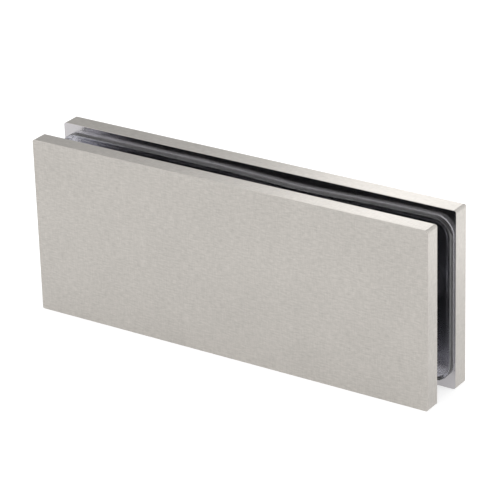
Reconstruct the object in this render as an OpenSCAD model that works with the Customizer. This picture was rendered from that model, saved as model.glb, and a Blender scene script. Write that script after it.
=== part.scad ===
// Glass-to-glass clamp: two flat metal plates that hold two panes edge to edge between clear pads.
// The front plate is plain. Posts stand on its inner face, and screws from the back plate run into them.
// Frame: +X along the plates, +Y from the front plate to the back plate, +Z up,
// with the origin at the middle of the glass slot.

/* [Plates] */
// Length of both plates
plate_len = 152; // [140:1:220]
// Height of both plates
plate_ht = 62.5; // [45:0.5:100]
// Thickness of the front plate
front_plate_t = 6; // [5.5:0.1:8]
// Thickness of the back plate, which takes the screws' heads
back_plate_t = 6.5; // [5.5:0.1:8]
// Radius of a plate's four corners, seen from the front
corner_r = 1; // [0.6:0.1:3]
// Rounding of the rim of a plate's outer face
rim_r = 0.3; // [0.2:0.1:1]
// Broken edge on the rim of a plate's inner face
rim_break = 0.1; // [0.1:0.05:0.5]

/* [Slot] */
// Width of the slot between the two plates
slot_w = 11.8; // [11:0.1:14]

/* [Pads] */
// Thickness of a clear pad
pad_t = 1.2; // [0.8:0.1:2]
// How far a pad stays inside the ends of its plate
pad_in_end = 0.5; // [0.2:0.1:3]
// How far a pad stays inside the long edges of its plate
pad_in_edge = 2.8; // [0.5:0.1:5]
// How far the front pad is stuck off centre, along the plates
front_pad_shift = -1; // [-1.5:0.1:1.5]
// How far the back pad is stuck off centre, along the plates
back_pad_shift = -0.4; // [-1.5:0.1:1.5]
// Outside radius of a pad's four corners
pad_corner_r = 6; // [4:0.1:9]
// Height of the bead above the pad's face
bead_ht = 1.2; // [0.3:0.1:1.6]
// Width of the bead that runs along the pad's rim
bead_w = 1.2; // [0.9:0.1:2.5]
// Radius of the bead's two shoulders
bead_shoulder_r = 0.35; // [0.15:0.05:0.45]

/* [Posts] */
// Distance from the plate's end to the outer post of a pane
post_in_end = 18; // [16:0.5:26]
// Distance between the two posts of a pane
post_pitch = 30; // [22:0.5:32]
// Radius of a post
post_r = 5; // [4.6:0.1:6]
// Room between a post's top and the back plate
post_gap = 1.8; // [1.5:0.1:3]
// Chamfer on a post's top
post_chamfer = 0.5; // [0.2:0.1:0.8]
// Radius of the spigot that seats a post in the front plate
spigot_r = 4; // [3.8:0.1:4.4]
// Length of the spigot
spigot_len = 4; // [3.5:0.1:4.6]

/* [Sleeves] */
// Wall of a sleeve
sleeve_wall = 2.9; // [1.5:0.1:4]
// How far a post's top stands out of its sleeve
sleeve_below = 0.4; // [0.2:0.1:1]
// Chamfer on a sleeve's two outer edges
sleeve_chamfer = 0.5; // [0.2:0.1:0.8]

/* [Screws] */
// Radius of the screw's thread
screw_r = 2.95; // [2.4:0.05:3.2]
// Length of a screw over all
screw_len = 16; // [14:0.5:17]
// Radius of the countersunk head
head_r = 6; // [5.2:0.1:7]
// Height of the straight rim round the head
head_land = 0.4; // [0.2:0.1:0.6]
// Depth of the head's top under the plate's outer face
head_sink = 0.1; // [0.05:0.05:0.4]
// Width across the flats of the hexagon socket
socket_w = 4; // [3:0.5:5]
// Depth of the hexagon socket
socket_depth = 2.2; // [1.6:0.1:2.6]
// Chamfer at the screw's tip
tip_chamfer = 0.8; // [0.4:0.1:1.2]

/* [Play] */
// Radial play of the screw's thread in the post
thread_play = 0.05; // [0.02:0.01:0.09]
// Radial play of the screw in the hole through the back plate
hole_play = 0.35; // [0.2:0.05:0.6]
// Play between the screw's head and its countersink
head_play = 0.05; // [0.03:0.01:0.1]
// Radial play of a spigot in its seat
seat_play = 0.03; // [0.01:0.01:0.08]
// Radial play of a sleeve on its post
sleeve_play = 0.1; // [0.05:0.05:0.3]
// Radial room round a sleeve in the pad's hole
pad_play = 1.5; // [1.2:0.1:2]
// Room under the screw's tip when the back plate meets the posts
tip_room = 0.5; // [0.3:0.1:1]

/* [Hidden] */
$fn = 64;
// Faces cut with this much to spare
spare = 1;
// Drill point: depth for each unit of radius
drill_point = 0.6;

// Every post, screw and hole along the length, from left to right
post_out = plate_len / 2 - post_in_end;
post_x = [-post_out, -post_out + post_pitch, post_out - post_pitch, post_out];

post_ht = slot_w - post_gap;
sleeve_in_r = post_r + sleeve_play;
sleeve_r = sleeve_in_r + sleeve_wall;
sleeve_len = post_ht - sleeve_below;
seat_r = spigot_r + seat_play;

thread_r = screw_r + thread_play;
screw_reach = screw_len + head_sink - back_plate_t - post_gap;
bore_depth = screw_reach + post_gap + tip_room;

pad_len = plate_len - 2 * pad_in_end;
pad_ht = plate_ht - 2 * pad_in_edge;
pad_hole_r = sleeve_r + pad_play;
bead_mid_r = pad_corner_r - bead_w / 2;

// Rectangle with round corners, centred
module round_rect(length, height, r) {
    square([length - 2 * r, height], center = true);
    square([length, height - 2 * r], center = true);
    for (x = [-1, 1], y = [-1, 1])
        translate([x * (length / 2 - r), y * (height / 2 - r)])
            circle(r);
}

// Section across a plate: broken edges at the inner face, round ones at the outer face
module rim_section(width, thick) {
    half = width / 2;
    polygon([[-half + rim_break, 0], [half - rim_break, 0], [half, rim_break],
             [half, thick - rim_r], [-half, thick - rim_r], [-half, rim_break]]);
    translate([-half + rim_r, 0])
        square([width - 2 * rim_r, thick]);
    for (side = [-1, 1])
        translate([side * (half - rim_r), thick - rim_r])
            circle(rim_r);
}

// Plate with its inner face on z = 0 and its outer face up
module plate_blank(thick) {
    intersection() {
        linear_extrude(thick)
            round_rect(plate_len, plate_ht, corner_r);
        rotate([90, 0, 0])
            linear_extrude(plate_ht + spare, center = true)
                rim_section(plate_len, thick);
        rotate([90, 0, 90])
            linear_extrude(plate_len + spare, center = true)
                rim_section(plate_ht, thick);
    }
}

// Blind seat for a post's spigot, cut into the inner face
module post_seat() {
    translate([0, 0, -spare])
        cylinder(h = spare + spigot_len + seat_play, r = seat_r);
}

// Countersunk hole through the back plate, wide end at the outer face
module screw_hole() {
    hole_r = screw_r + hole_play;
    sink_r = head_r + head_play;
    sink_floor = back_plate_t - head_sink - head_land;
    translate([0, 0, -spare])
        cylinder(h = back_plate_t + 2 * spare, r = hole_r);
    translate([0, 0, sink_floor - (sink_r - hole_r)])
        cylinder(h = sink_r - hole_r, r1 = hole_r, r2 = sink_r);
    translate([0, 0, sink_floor])
        cylinder(h = back_plate_t - sink_floor + spare, r = sink_r);
}

// Section of a pad's rim with the bead on it, standing on y = 0
module bead_section() {
    half = bead_w / 2;
    top = pad_t + bead_ht;
    translate([-half, 0])
        square([bead_w, top - bead_shoulder_r]);
    translate([-half + bead_shoulder_r, 0])
        square([bead_w - 2 * bead_shoulder_r, top]);
    for (side = [-1, 1])
        translate([side * (half - bead_shoulder_r), top - bead_shoulder_r])
            circle(bead_shoulder_r);
}

// One straight run of the bead along x, centred
module bead_run(length) {
    rotate([90, 0, 90])
        linear_extrude(length, center = true)
            bead_section();
}

// Bead all the way round: four straight runs and four turned corners
module bead_loop() {
    run_x = pad_len - 2 * pad_corner_r;
    run_y = pad_ht - 2 * pad_corner_r;
    for (side = [-1, 1]) {
        translate([0, side * (pad_ht - bead_w) / 2, 0])
            bead_run(run_x);
        translate([side * (pad_len - bead_w) / 2, 0, 0])
            rotate([0, 0, 90])
                bead_run(run_y);
    }
    for (turn = [0:3]) {
        sx = (turn == 0 || turn == 3) ? 1 : -1;
        sy = turn < 2 ? 1 : -1;
        translate([sx * run_x / 2, sy * run_y / 2, 0])
            rotate([0, 0, 90 * turn])
                rotate_extrude(angle = 90)
                    translate([bead_mid_r, 0])
                        bead_section();
    }
}

// Pad lying on z = 0 with its bead up, moved off centre as it is stuck on.
// The flat part ends under the middle of the bead.
module pad(shift) {
    difference() {
        translate([shift, 0, 0]) {
            linear_extrude(pad_t)
                round_rect(pad_len - bead_w, pad_ht - bead_w, bead_mid_r);
            bead_loop();
        }
        for (x = post_x)
            translate([x, 0, -spare])
                cylinder(h = pad_t + 2 * spare, r = pad_hole_r);
    }
}

// Stands a piece that is drawn along +z on the front plate's inner face
module on_front(x) {
    translate([x, -slot_w / 2, 0])
        rotate([-90, 0, 0])
            children();
}

module front_plate() {
    color([0.76, 0.74, 0.71])
        difference() {
            translate([0, -slot_w / 2, 0])
                rotate([90, 0, 0])
                    plate_blank(front_plate_t);
            for (x = post_x)
                translate([x, -slot_w / 2, 0])
                    rotate([90, 0, 0])
                        post_seat();
        }
}

module back_plate() {
    color([0.76, 0.74, 0.71])
        translate([0, slot_w / 2, 0])
            rotate([-90, 0, 0])
                difference() {
                    plate_blank(back_plate_t);
                    for (x = post_x)
                        translate([x, 0, 0])
                            screw_hole();
                }
}

module front_pad() {
    color([0.82, 0.85, 0.88, 0.4])
        translate([0, -slot_w / 2, 0])
            rotate([-90, 0, 0])
                pad(front_pad_shift);
}

module back_pad() {
    color([0.82, 0.85, 0.88, 0.4])
        translate([0, slot_w / 2, 0])
            rotate([90, 0, 0])
                pad(back_pad_shift);
}

// Turned post with a spigot below and a blind threaded bore from its top
module post(x) {
    bore_end = post_ht - bore_depth;
    color([0.78, 0.64, 0.36])
        on_front(x)
            rotate_extrude()
                polygon([[0, -spigot_len],
                         [spigot_r - post_chamfer, -spigot_len],
                         [spigot_r, -spigot_len + post_chamfer],
                         [spigot_r, 0],
                         [post_r, 0],
                         [post_r, post_ht - post_chamfer],
                         [post_r - post_chamfer, post_ht],
                         [thread_r + post_chamfer, post_ht],
                         [thread_r, post_ht - post_chamfer],
                         [thread_r, bore_end],
                         [0, bore_end - thread_r * drill_point]]);
}

// Plain bush round a post, which keeps the metal off the edge of the hole in the glass
module sleeve(x) {
    color([0.2, 0.2, 0.2])
        on_front(x)
            rotate_extrude()
                polygon([[sleeve_in_r, 0],
                         [sleeve_r - sleeve_chamfer, 0],
                         [sleeve_r, sleeve_chamfer],
                         [sleeve_r, sleeve_len - sleeve_chamfer],
                         [sleeve_r - sleeve_chamfer, sleeve_len],
                         [sleeve_in_r, sleeve_len]]);
}

// Countersunk screw with a hexagon socket, its head in the back plate
module screw(x) {
    head_top = slot_w / 2 + back_plate_t - head_sink;
    cone = head_r - screw_r;
    color([0.68, 0.68, 0.69])
        translate([x, head_top, 0])
            rotate([90, 0, 0])
                difference() {
                    rotate_extrude()
                        polygon([[0, 0],
                                 [head_r, 0],
                                 [head_r, head_land],
                                 [screw_r, head_land + cone],
                                 [screw_r, screw_len - tip_chamfer],
                                 [screw_r - tip_chamfer, screw_len],
                                 [0, screw_len]]);
                    translate([0, 0, -spare])
                        cylinder(h = spare + socket_depth, r = socket_w / sqrt(3), $fn = 6);
                }
}

front_plate();
back_plate();
front_pad();
back_pad();
for (i = [1:4]) post(post_x[i - 1]);
for (i = [1:4]) sleeve(post_x[i - 1]);
for (i = [1:4]) screw(post_x[i - 1]);
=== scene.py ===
from math import cos, pi, radians, sin

import bpy
from mathutils import Matrix, Vector


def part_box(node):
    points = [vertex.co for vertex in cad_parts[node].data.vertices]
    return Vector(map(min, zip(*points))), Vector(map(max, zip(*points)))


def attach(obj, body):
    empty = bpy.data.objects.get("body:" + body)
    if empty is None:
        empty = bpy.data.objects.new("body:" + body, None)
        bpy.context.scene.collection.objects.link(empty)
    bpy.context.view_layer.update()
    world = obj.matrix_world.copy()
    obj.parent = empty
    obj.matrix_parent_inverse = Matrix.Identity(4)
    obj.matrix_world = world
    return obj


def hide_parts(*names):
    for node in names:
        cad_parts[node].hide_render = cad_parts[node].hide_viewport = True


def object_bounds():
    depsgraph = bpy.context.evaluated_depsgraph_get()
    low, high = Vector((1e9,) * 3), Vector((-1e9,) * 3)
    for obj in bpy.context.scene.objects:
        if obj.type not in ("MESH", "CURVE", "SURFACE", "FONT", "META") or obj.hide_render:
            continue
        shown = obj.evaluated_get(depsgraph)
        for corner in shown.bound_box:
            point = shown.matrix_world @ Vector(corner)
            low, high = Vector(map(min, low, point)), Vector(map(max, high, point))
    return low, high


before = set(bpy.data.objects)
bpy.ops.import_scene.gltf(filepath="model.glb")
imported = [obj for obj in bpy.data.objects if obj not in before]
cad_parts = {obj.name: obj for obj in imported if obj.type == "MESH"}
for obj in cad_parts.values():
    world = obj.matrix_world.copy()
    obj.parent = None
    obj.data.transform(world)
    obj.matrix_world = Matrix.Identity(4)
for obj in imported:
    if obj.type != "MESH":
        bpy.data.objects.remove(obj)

cad_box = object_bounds()


# Camera
# A long lens, well back from the clamp, to the right of its front plate and above it.
# The photograph leans a little, so the camera is rolled by the same amount.
MM = 0.001
camera_azimuth = radians(33.87)
camera_elevation = radians(24.42)
camera_roll = radians(-1.70)
camera_distance = 917.2 * MM
camera_lens = 201.4
sensor_width = 36
aim_right = 1.9 * MM
aim_up = 2.8 * MM

towards = Vector((sin(camera_azimuth) * cos(camera_elevation),
                  -cos(camera_azimuth) * cos(camera_elevation),
                  sin(camera_elevation)))
level_right = Vector((cos(camera_azimuth), sin(camera_azimuth), 0))
level_up = towards.cross(level_right)
camera_right = level_right * cos(camera_roll) + level_up * sin(camera_roll)
camera_up = towards.cross(camera_right)
camera_data = bpy.data.cameras.new("camera")
camera_data.sensor_width = sensor_width
camera_data.lens = camera_lens
camera = bpy.data.objects.new("camera", camera_data)
bpy.context.scene.collection.objects.link(camera)
camera_turn = Matrix((camera_right, camera_up, towards)).transposed()
camera_place = towards * camera_distance + level_right * aim_right + level_up * aim_up
camera.matrix_world = Matrix.Translation(camera_place) @ camera_turn.to_4x4()
bpy.context.scene.camera = camera
bpy.context.scene.view_settings.view_transform = "Standard"


# Floor and studio light
# The clamp stands on a white sheet that is lit from below, in an even white room that is dimmer behind
# to the left. A light card leans over the clamp from behind, and a small one stands low at its right.
floor_z = cad_box[0][2]
floor_half = 4.0
floor_white = (0.48, 0.48, 0.48, 1)
floor_glow = 0.64
pure_white = (1, 1, 1, 1)
room_light = 1.25
dim_light = 0.66
dim_middle = Vector((-0.507, 0.756, 0.413)).normalized()
dim_outer_cosine = 0.72
dim_inner_cosine = 0.97


def feed(made, *values, **named):
    """Sets or links a node's inputs, in order and then by name; a list links each of its sockets."""
    pairs = list(enumerate(values)) + [(key.replace("_", " "), value) for key, value in named.items()]
    for key, value in pairs:
        for source in value if isinstance(value, list) else [value]:
            if isinstance(source, bpy.types.NodeSocket):
                made.id_data.links.new(source, made.inputs[key])
            elif source is not None:
                made.inputs[key].default_value = source
    return made


def node(tree, kind, *values, props=None, **named):
    """Adds a node with these settings and inputs."""
    made = tree.nodes.new(kind)
    for key, value in (props or {}).items():
        setattr(made, key, value)
    return feed(made, *values, **named)


def ramp(tree, value, start, end, low, high):
    """A number that runs from low to high as value runs from start to end."""
    return node(tree, "ShaderNodeMapRange", value, start, end, low, high).outputs[0]


def fresh_material(name):
    """A new material with its node tree and its shader."""
    material = bpy.data.materials.new(name)
    material.use_nodes = True
    return material, material.node_tree, material.node_tree.nodes["Principled BSDF"]


def soft_light(name, place, aim, width, height, power, lean=0.0):
    """A soft rectangle of light at place, which faces the point aim and leans to one side."""
    data = bpy.data.lights.new(name, "AREA")
    data.shape = "RECTANGLE"
    data.size = width
    data.size_y = height
    data.energy = power
    light = bpy.data.objects.new(name, data)
    light.location = place
    light.rotation_euler = (Vector(aim) - Vector(place)).to_track_quat("-Z", "Y").to_euler()
    light.rotation_euler.rotate_axis("Z", lean)
    light.visible_camera = False
    bpy.context.scene.collection.objects.link(light)


floor_mesh = bpy.data.meshes.new("floor")
floor_mesh.from_pydata([(-floor_half, -floor_half, floor_z), (floor_half, -floor_half, floor_z),
                        (floor_half, floor_half, floor_z), (-floor_half, floor_half, floor_z)],
                       [], [(0, 1, 2, 3)])
floor = bpy.data.objects.new("floor", floor_mesh)
bpy.context.scene.collection.objects.link(floor)
floor_paint, _, floor_shader = fresh_material("floor")
feed(floor_shader, Base_Color=floor_white, Roughness=0.9, Specular_IOR_Level=0.2,
     Emission_Color=pure_white, Emission_Strength=floor_glow)
floor_mesh.materials.append(floor_paint)

room = bpy.data.worlds.new("room")
room.use_nodes = True
room_tree = room.node_tree
room_direction = node(room_tree, "ShaderNodeTexCoord").outputs["Generated"]
dim_cosine = node(room_tree, "ShaderNodeVectorMath", room_direction, dim_middle,
                  props={"operation": "DOT_PRODUCT"}).outputs["Value"]
feed(room_tree.nodes["Background"], Color=pure_white,
     Strength=ramp(room_tree, dim_cosine, dim_outer_cosine, dim_inner_cosine, room_light, dim_light))
bpy.context.scene.world = room

soft_light("back_card", place=(-0.034, 0.12, 0.119), aim=(0.02, 0, 0.03),
           width=0.18, height=0.05, power=0.060, lean=radians(38))
soft_light("side_card", place=(0.135, 0.08, -0.012), aim=(0.076, 0, 0.012),
           width=0.06, height=0.05, power=0.0042)


# Plates
# Two flat plates of solid metal with a warm grey nickel finish, the front one plain and the back one
# drilled and countersunk. The outer faces and edges are brushed along their length, with a faint
# cross grain; the inner faces are left polished and a little cooler, and mirror what lies in the slot.
nickel_light = (0.66, 0.628, 0.588, 1)
nickel_dark = (0.24, 0.229, 0.214, 1)
nickel_rough = (0.25, 0.45)
polished_light = (0.52, 0.505, 0.517, 1)
polished_dark = (0.45, 0.436, 0.447, 1)
polished_rough = (0.17, 0.20)
grain_length = 2.4 * MM
grain_width = 0.50 * MM
grain_depth = 0.008 * MM
grain_share = 0.58
cross_share = 0.30
cloud_share = 0.12
end_facing = 0.7
face_skin = 0.03 * MM


def calc(tree, operation, *values):
    """The result of one step of arithmetic on numbers or sockets."""
    return node(tree, "ShaderNodeMath", *values, props={"operation": operation}).outputs[0]


def mix(tree, share, low, high):
    """A number that runs from low to high with share."""
    return node(tree, "ShaderNodeMix", share, None, low, high).outputs[0]


def mix_colours(tree, share, low, high):
    """A colour that runs from low to high with share. The node's colours come after five other inputs."""
    return node(tree, "ShaderNodeMix", share, *[None] * 5, low, high, props={"data_type": "RGBA"}).outputs[2]


def noise(tree, place, scale, detail, harshness=0.5):
    """Smooth random values from 0 to 1, about one patch for each unit of place times scale."""
    return node(tree, "ShaderNodeTexNoise", place, Scale=scale, Detail=detail,
                Roughness=harshness).outputs["Fac"]


def brushed_nickel(inner_face):
    """Brushed finish, with a polished inner face where |y| is under inner_face."""
    material, tree, shader = fresh_material("brushed_nickel")
    place = node(tree, "ShaderNodeTexCoord")
    x, y, z = node(tree, "ShaderNodeSeparateXYZ", place.outputs["Object"]).outputs
    facing_x = node(tree, "ShaderNodeSeparateXYZ", place.outputs["Normal"]).outputs[0]
    on_end = calc(tree, "GREATER_THAN", calc(tree, "ABSOLUTE", facing_x), end_facing)
    along = mix(tree, on_end, x, z)
    across = calc(tree, "ADD", y, mix(tree, on_end, z, x))

    def streaks(first, second, detail):
        """Fine lines: long along first, narrow across second."""
        spot = node(tree, "ShaderNodeCombineXYZ",
                    calc(tree, "DIVIDE", first, grain_length),
                    calc(tree, "DIVIDE", second, grain_width), on_end).outputs[0]
        return noise(tree, spot, scale=1.0, detail=detail, harshness=0.6)

    grain = streaks(along, across, detail=3.0)
    cross_grain = streaks(across, along, detail=2.0)
    cloud = noise(tree, place.outputs["Object"], scale=60.0, detail=2.0)
    tone = 0.0
    for pattern, share in ((grain, grain_share), (cross_grain, cross_share), (cloud, cloud_share)):
        tone = calc(tree, "MULTIPLY_ADD", pattern, share, tone)

    brushed = calc(tree, "GREATER_THAN", calc(tree, "ABSOLUTE", y), inner_face)
    colour = mix_colours(tree, tone, nickel_dark, nickel_light)
    sheen = mix_colours(tree, cloud, polished_dark, polished_light)
    rough = ramp(tree, tone, 0.0, 1.0, *nickel_rough)
    polish = ramp(tree, cloud, 0.0, 1.0, *polished_rough)
    bump = node(tree, "ShaderNodeBump", Height=calc(tree, "MULTIPLY", tone, brushed),
                Distance=grain_depth, Strength=0.7)
    feed(shader, Base_Color=mix_colours(tree, brushed, sheen, colour),
         Roughness=mix(tree, brushed, polish, rough), Normal=bump.outputs[0], Metallic=1.0)
    return material


plate_finish = brushed_nickel(abs(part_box("back_plate")[0].y) + face_skin)
for name in ("front_plate", "back_plate"):
    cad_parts[name].data.materials[0] = plate_finish


# Pads
# Two clear soft vinyl pads, one stuck to the polished face of each plate. Each is moulded with a bead
# that stands up all round its rim, and has four holes that clear the sleeves. The upper edge of such a
# soft pad is never quite straight: it sags a little where it was pressed on.
pad_low, pad_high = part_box("back_pad")
pad_sizes = {
    "Length": pad_high.x - pad_low.x,
    "Height": pad_high.z - pad_low.z,
    "Pad Shift": 0.0,
    "Corner Radius": 6.0 * MM,
    "Thickness": 1.2 * MM,
    "Bead Width": 1.2 * MM,
    "Bead Rise": 1.2 * MM,
    "Bead Rounding": 0.35 * MM,
    "Hole Radius": 9.5 * MM,
    "Outer Hole": 58 * MM,
    "Inner Hole": 28 * MM,
    "Sag": 0.0,
    "Sag Place": 20 * MM,
    "Sag Reach": 22 * MM,
}
back_sag = 1.0 * MM
glue_film = 0.03 * MM
rim_step = 0.5 * MM
weld_reach = 0.001 * MM
vinyl_tint = (0.91, 0.92, 0.96, 1)
vinyl_rough = (0.10, 0.22)
vinyl_ior = 1.53


def new_tree(name, sizes):
    """An empty tree of geometry nodes whose inputs are these sizes, the material, the turn and the place."""
    tree = bpy.data.node_groups.new(name, "GeometryNodeTree")
    kinds = {title: "Float" for title in sizes}
    kinds.update({"Material": "Material", "Turn": "Rotation", "Place": "Vector"})
    for title, kind in kinds.items():
        tree.interface.new_socket(title, in_out="INPUT", socket_type="NodeSocket" + kind)
    tree.interface.new_socket("Geometry", in_out="OUTPUT", socket_type="NodeSocketGeometry")
    return tree, tree.nodes.new("NodeGroupInput").outputs


def vector(tree, x=0.0, y=0.0, z=0.0):
    """A vector from three numbers or sockets."""
    return node(tree, "ShaderNodeCombineXYZ", x, y, z).outputs[0]


def geo(tree, kind, *values, props=None, **named):
    """The first output of a geometry node."""
    return node(tree, "GeometryNode" + kind, *values, props=props, **named).outputs[0]


def end_tree(tree, given, result):
    """Puts the result in its place, makes its instances real, and gives it its material."""
    placed = geo(tree, "Transform", result, Rotation=given["Turn"], Translation=given["Place"])
    real = geo(tree, "RealizeInstances", placed)
    node(tree, "NodeGroupOutput", geo(tree, "SetMaterial", real, Material=given["Material"]))


def pad_tree():
    """A flat pad with holes, and a bead swept along its rim."""
    tree, given = new_tree("moulded_pad", pad_sizes)

    def rounded(width, height, radius, steps):
        """A rectangle with round corners."""
        box = geo(tree, "CurvePrimitiveQuadrilateral", width, height)
        return geo(tree, "FilletCurve", box, props={"mode": "POLY"}, Count=steps, Radius=radius)

    # The middle line of the bead, which sags along its upper run
    rim = rounded(calc(tree, "SUBTRACT", given["Length"], given["Bead Width"]),
                  calc(tree, "SUBTRACT", given["Height"], given["Bead Width"]),
                  calc(tree, "MULTIPLY_ADD", given["Bead Width"], -0.5, given["Corner Radius"]), steps=24)
    rim = geo(tree, "Transform", rim, Translation=vector(tree, given["Pad Shift"]))
    rim = geo(tree, "ResampleCurve", rim, props={"mode": "LENGTH"}, Length=rim_step)
    x, y, _ = node(tree, "ShaderNodeSeparateXYZ", geo(tree, "InputPosition")).outputs
    off = calc(tree, "DIVIDE", calc(tree, "SUBTRACT", x, given["Sag Place"]), given["Sag Reach"])
    fade = calc(tree, "EXPONENT", calc(tree, "MULTIPLY", calc(tree, "MULTIPLY", off, off), -1.0))
    upper = ramp(tree, y, 0.0, calc(tree, "MULTIPLY", given["Height"], 0.5), 0.0, 1.0)
    drop = calc(tree, "MULTIPLY", calc(tree, "MULTIPLY", fade, upper),
                calc(tree, "MULTIPLY", given["Sag"], -1.0))
    rim = geo(tree, "SetPosition", rim, Offset=vector(tree, y=drop))

    # The flat sheet inside that line, with its four holes
    between = calc(tree, "SUBTRACT", given["Outer Hole"], given["Inner Hole"])
    starts = (calc(tree, "MULTIPLY", given["Outer Hole"], -1.0), given["Inner Hole"])
    pairs = [geo(tree, "MeshLine", Count=2, Start_Location=vector(tree, start), Offset=vector(tree, between))
             for start in starts]
    ring = geo(tree, "CurvePrimitiveCircle", Resolution=64, Radius=given["Hole Radius"])
    holes = geo(tree, "InstanceOnPoints", geo(tree, "JoinGeometry", pairs), Instance=ring)
    holes = geo(tree, "RealizeInstances", holes)
    sheet = geo(tree, "FillCurve", geo(tree, "JoinGeometry", [rim, holes]))
    raised = geo(tree, "ExtrudeMesh", sheet, Offset=vector(tree, z=given["Thickness"]), Individual=False)
    slab = geo(tree, "JoinGeometry", [raised, geo(tree, "FlipFaces", sheet)])
    slab = geo(tree, "MergeByDistance", slab, Distance=weld_reach)

    # The bead, swept along the line and joined to the sheet
    path = geo(tree, "SetCurveNormal", rim, props={"mode": "Z_UP"})
    stand = calc(tree, "ADD", given["Thickness"], given["Bead Rise"])
    section = rounded(given["Bead Width"], stand, given["Bead Rounding"], steps=8)
    bead = geo(tree, "CurveToMesh", path, section)
    bead = geo(tree, "Transform", bead, Translation=vector(tree, z=calc(tree, "MULTIPLY", stand, 0.5)))
    whole = geo(tree, "MeshBoolean", props={"operation": "UNION", "solver": "EXACT"}, Mesh_2=[slab, bead])
    end_tree(tree, given, whole)
    return tree


def grow(name, tree, values):
    """Runs a tree on an empty host and keeps the result as a plain mesh."""
    host = bpy.data.objects.new(name + "_host", bpy.data.meshes.new(name + "_host"))
    bpy.context.scene.collection.objects.link(host)
    modifier = host.modifiers.new("grow", "NODES")
    modifier.node_group = tree
    for item in tree.interface.items_tree:
        if item.in_out == "INPUT":
            modifier[item.identifier] = values[item.name]
    mesh = bpy.data.meshes.new_from_object(host.evaluated_get(bpy.context.evaluated_depsgraph_get()))
    bpy.data.objects.remove(host)
    piece = bpy.data.objects.new(name, mesh)
    bpy.context.scene.collection.objects.link(piece)
    return piece


def smooth_faces(piece, angle):
    """Smooth shading, with edges sharper than angle kept crisp."""
    piece.data.shade_smooth()
    piece.data.set_sharp_from_angle(angle=radians(angle))


vinyl, vinyl_tree, vinyl_shader = fresh_material("clear_vinyl")
vinyl_place = node(vinyl_tree, "ShaderNodeTexCoord").outputs["Object"]
vinyl_cloud = noise(vinyl_tree, vinyl_place, scale=150.0, detail=2.0)
feed(vinyl_shader, Base_Color=vinyl_tint, Roughness=ramp(vinyl_tree, vinyl_cloud, 0.0, 1.0, *vinyl_rough),
     Transmission_Weight=1.0, IOR=vinyl_ior)

pad_moulding = pad_tree()
for side, body, facing, sag in (("front", "front_jaw", -1, 0.0), ("back", "back_jaw", 1, back_sag)):
    low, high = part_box(f"{side}_pad")
    stuck_at = facing * (pad_high.y - glue_film)
    pad = grow(f"{side}_pad_vinyl", pad_moulding,
               {**pad_sizes, "Pad Shift": (low.x + high.x) / 2, "Sag": sag, "Material": vinyl,
                "Turn": (facing * pi / 2, 0, 0), "Place": (0, stuck_at, 0)})
    smooth_faces(pad, angle=30)
    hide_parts(f"{side}_pad")
    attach(pad, body)


# Posts
# Four turned brass posts, seated in the front plate's inner face and tapped for the screws.
# The lathe has left fine rings round each one.
brass_bright = (0.80, 0.62, 0.32, 1)
brass_dull = (0.70, 0.54, 0.28, 1)
brass_rough = (0.18, 0.34)
ring_pitch = 0.12 * MM
ring_depth = 0.01 * MM


def turned_metal(name, dull, bright, rough):
    """Lathe-turned metal, whose rings run round the y axis."""
    material, tree, shader = fresh_material(name)
    place = node(tree, "ShaderNodeTexCoord").outputs["Object"]
    y = node(tree, "ShaderNodeSeparateXYZ", place).outputs[1]
    rings = noise(tree, vector(tree, y=calc(tree, "DIVIDE", y, ring_pitch)), scale=1.0, detail=2.0)
    cloud = noise(tree, place, scale=400.0, detail=3.0)
    bump = node(tree, "ShaderNodeBump", Height=rings, Distance=ring_depth, Strength=0.5)
    feed(shader, Base_Color=mix_colours(tree, cloud, dull, bright),
         Roughness=ramp(tree, rings, 0.0, 1.0, *rough), Normal=bump.outputs[0], Metallic=1.0)
    return material


brass = turned_metal("turned_brass", brass_dull, brass_bright, brass_rough)
for i in range(1, 5):
    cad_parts[f"post_{i}"].data.materials[0] = brass


# Sleeves
# Four plain bushes of black nylon, slipped over the posts. They sit in the holes through the glass
# and keep it off the metal.
sleeve_black = (0.035, 0.034, 0.036, 1)
sleeve_grey = (0.055, 0.054, 0.056, 1)
sleeve_rough = (0.38, 0.52)

nylon, nylon_tree, nylon_shader = fresh_material("black_nylon")
nylon_place = node(nylon_tree, "ShaderNodeTexCoord").outputs["Object"]
nylon_cloud = noise(nylon_tree, nylon_place, scale=220.0, detail=3.0)
feed(nylon_shader, Base_Color=mix_colours(nylon_tree, nylon_cloud, sleeve_black, sleeve_grey),
     Roughness=ramp(nylon_tree, nylon_cloud, 0.0, 1.0, *sleeve_rough))
for i in range(1, 5):
    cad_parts[f"sleeve_{i}"].data.materials[0] = nylon


# Screws
# Four countersunk M6 screws of stainless steel, turned, with a rolled thread and a hexagon socket.
# Their heads sit in the back plate, and their threads, 1 mm from crest to crest, run into the posts.
screw_low, screw_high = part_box("screw_1")
screw_sizes = {
    "Screw Length": screw_high.y - screw_low.y,
    "Crest Radius": 2.95 * MM,
    "Thread Pitch": 1.0 * MM,
    "Thread Depth": 0.55 * MM,
    "Thread Length": 11.2 * MM,
    "Tip Chamfer": 0.8 * MM,
    "Head Radius": 6.0 * MM,
    "Head Land": 0.4 * MM,
    "Socket Width": 4.0 * MM,
    "Socket Depth": 2.2 * MM,
    "Drill Point": 0.6 * MM,
}
ring_step = 0.1 * MM
# How far from the middle of a crest its flank starts and ends, as shares of the pitch
crest_end = 0.06
root_start = 0.44
drill_share = 0.49
drill_overlap = ring_step / 4
steel_bright = (0.50, 0.50, 0.51, 1)
steel_dull = (0.36, 0.36, 0.37, 1)
steel_rough = (0.22, 0.38)


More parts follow.
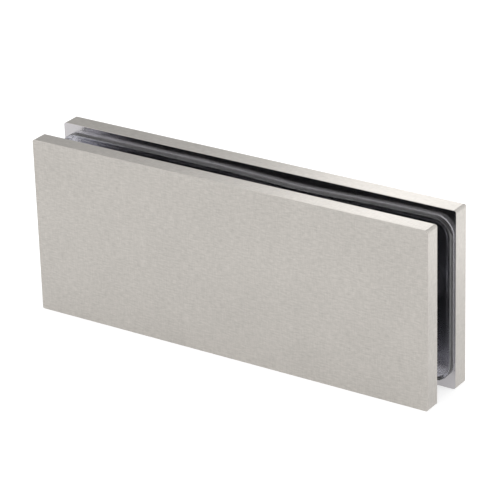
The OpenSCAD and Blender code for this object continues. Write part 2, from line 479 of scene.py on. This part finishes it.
def screw_tree():
    """A bar whose radius is worked out at every height, with its thread, and a socket cut into its head."""
    tree, given = new_tree("countersunk_screw", screw_sizes)
    length = given["Screw Length"]
    rings = calc(tree, "ROUND", calc(tree, "DIVIDE", length, ring_step))
    bar = geo(tree, "MeshCylinder", Vertices=60, Side_Segments=rings, Radius=1.0, Depth=length)
    lift = vector(tree, z=calc(tree, "MULTIPLY", length, 0.5))
    bar = geo(tree, "Transform", bar, Translation=lift)
    x, y, height = node(tree, "ShaderNodeSeparateXYZ", geo(tree, "InputPosition")).outputs

    # The thread: each flank falls from its crest to its root, and the cut fades out up the shank
    turn = calc(tree, "DIVIDE", calc(tree, "ARCTAN2", y, x), 2 * pi)
    climb = calc(tree, "DIVIDE", height, given["Thread Pitch"])
    wave = calc(tree, "FRACT", calc(tree, "SUBTRACT", climb, turn))
    off_crest = calc(tree, "ABSOLUTE", calc(tree, "SUBTRACT", wave, 0.5))
    flank = ramp(tree, off_crest, crest_end, root_start, 0.0, given["Thread Depth"])
    run_out = calc(tree, "SUBTRACT", height, given["Thread Length"])
    cut = calc(tree, "SUBTRACT", given["Thread Depth"], calc(tree, "MAXIMUM", run_out, 0.0))
    cut = calc(tree, "MINIMUM", flank, calc(tree, "MAXIMUM", cut, 0.0))
    shank = calc(tree, "SUBTRACT", given["Crest Radius"], cut)

    # The chamfered tip, and the cone and land of the head
    tip = calc(tree, "ADD", height, calc(tree, "SUBTRACT", given["Crest Radius"], given["Tip Chamfer"]))
    cone_top = calc(tree, "SUBTRACT", length, given["Head Land"])
    cone = calc(tree, "ADD", calc(tree, "SUBTRACT", height, cone_top), given["Head Radius"])
    head = calc(tree, "MINIMUM", cone, given["Head Radius"])
    radius = calc(tree, "MAXIMUM", calc(tree, "MINIMUM", shank, tip), head)
    shaped = vector(tree, calc(tree, "MULTIPLY", x, radius), calc(tree, "MULTIPLY", y, radius), height)
    bar = geo(tree, "SetPosition", bar, Position=shaped)

    # The hexagon socket, which ends in the shallow cone that the drill left
    deep = given["Socket Depth"]
    corner_radius = calc(tree, "DIVIDE", given["Socket Width"], 3 ** 0.5)
    hexagon = geo(tree, "MeshCylinder", Vertices=6, Radius=corner_radius,
                  Depth=calc(tree, "MULTIPLY", deep, 2.0))
    hexagon = geo(tree, "Transform", hexagon, Translation=vector(tree, z=length))
    point = geo(tree, "MeshCone", Vertices=48, Radius_Top=0.0, Depth=given["Drill Point"],
                Radius_Bottom=calc(tree, "MULTIPLY", given["Socket Width"], drill_share))
    point_at = calc(tree, "ADD", calc(tree, "SUBTRACT", length, deep), drill_overlap)
    point = geo(tree, "Transform", point, Rotation=(pi, 0, 0), Translation=vector(tree, z=point_at))
    cutter = geo(tree, "MeshBoolean", props={"operation": "UNION", "solver": "EXACT"},
                 Mesh_2=[hexagon, point])
    whole = geo(tree, "MeshBoolean", bar, cutter, props={"operation": "DIFFERENCE", "solver": "EXACT"})
    end_tree(tree, given, whole)
    return tree


steel = turned_metal("stainless", steel_dull, steel_bright, steel_rough)
screw_shape = screw_tree()
for i in range(1, 5):
    low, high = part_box(f"screw_{i}")
    screw = grow(f"screw_{i}_steel", screw_shape,
                 {**screw_sizes, "Material": steel, "Turn": (-pi / 2, 0, 0),
                  "Place": ((low.x + high.x) / 2, low.y, (low.z + high.z) / 2)})
    smooth_faces(screw, angle=35)
    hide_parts(f"screw_{i}")
    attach(screw, f"screw_{i}_body")
